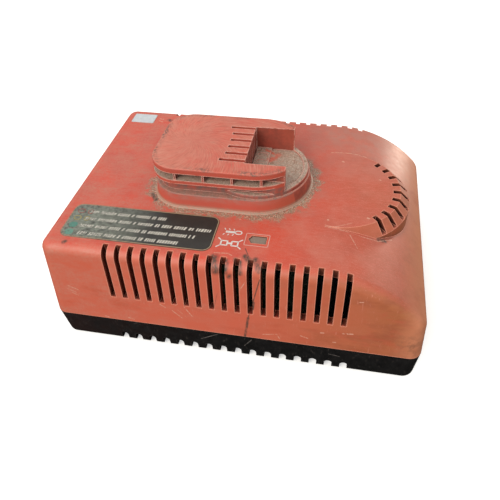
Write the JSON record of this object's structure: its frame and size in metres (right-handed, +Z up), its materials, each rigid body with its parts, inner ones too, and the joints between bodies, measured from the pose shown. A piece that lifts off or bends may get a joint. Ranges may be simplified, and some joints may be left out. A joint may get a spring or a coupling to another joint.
{
  "type": "power tool battery charger",
  "caption": "Bench charger for slide-on power tool packs: vented drafted cover over a toothed base tray, raised rail dock, round louvred fan dome and a turning fan inside.",
  "frame": {"origin": "middle of the footprint, on the surface the rubber feet stand on", "axes": "+X along the body from the label end to the fan end, +Y towards the back with the mains inlet, +Z up"},
  "size_m": [0.2388, 0.1732, 0.1102],
  "materials": {
    "red_abs_cover": "moulded, dusty, faded",
    "black_abs_base": "moulded, scuffed",
    "red_abs_dock": "moulded, dusty",
    "black_contact_moulding": "moulded",
    "plated_contact": "nickel plated",
    "clear_guide": "clear acrylic",
    "lamp": "diffused epoxy",
    "black_rubber": "moulded",
    "zinc_screw": "zinc plated",
    "green_board": "solder mask",
    "ferrite": "pressed and sintered",
    "black_former": "moulded",
    "yellow_tape": "polyester tape wrap",
    "sink_aluminium": "extruded",
    "black_epoxy": "moulded epoxy",
    "blue_sleeve": "shrink sleeve",
    "black_sleeve": "shrink sleeve",
    "copper_winding": "enamelled copper",
    "fuse_ceramic": "ceramic tube with plated caps",
    "clip_brass": "tinned",
    "relay_case": "moulded",
    "fan_plastic": "moulded, dusty",
    "sintered_bronze": "sintered",
    "ring_magnet": "bonded ferrite",
    "shaft_steel": "ground",
    "inlet_plastic": "moulded",
    "pin_metal": "nickel plated",
    "lead_insulation": "PVC",
    "black_label": "printed film",
    "pale_sticker": "paper film"
  },
  "bodies": {
    "charger": {"upper_shell": "red_abs_cover", "lower_shell": "black_abs_base", "battery_dock": "red_abs_dock", "contact_block": "black_contact_moulding", "contact_blades": "plated_contact", "light_guide": "clear_guide", "status_led": "lamp", "rubber_feet": "black_rubber", "housing_screws": "zinc_screw", "dock_screws": "zinc_screw", "fan_screws": "zinc_screw", "board_screws": "zinc_screw", "circuit_board": "green_board", "transformer_core": "ferrite", "transformer_bobbin": "black_former", "transformer_winding": "yellow_tape", "heat_sink": "sink_aluminium", "power_transistors": "black_epoxy", "mains_capacitor": "blue_sleeve", "output_capacitors": "black_sleeve", "choke_core": "ferrite", "choke_windings": "copper_winding", "mains_fuse": "fuse_ceramic", "fuse_clips": "clip_brass", "bridge_rectifier": "black_epoxy", "output_relay": "relay_case", "control_chips": "black_epoxy", "fan_frame": "fan_plastic", "fan_bearing": "sintered_bronze", "fan_stator": "copper_winding", "mains_inlet": "inlet_plastic", "inlet_pins": "pin_metal", "contact_leads": "lead_insulation", "fan_leads": "lead_insulation", "mains_leads": "lead_insulation", "status_label": "black_label", "small_sticker": "pale_sticker"},
    "fan": {"fan_rotor": "fan_plastic", "fan_magnet": "ring_magnet", "fan_shaft": "shaft_steel"}
  },
  "joints": [
    {"name": "fan_spin", "type": "hinge", "parent": "charger", "child": "fan", "pos_m": [0.059, 0, 0.0635], "axis": [0, 0, 1], "continuous": true}
  ]
}
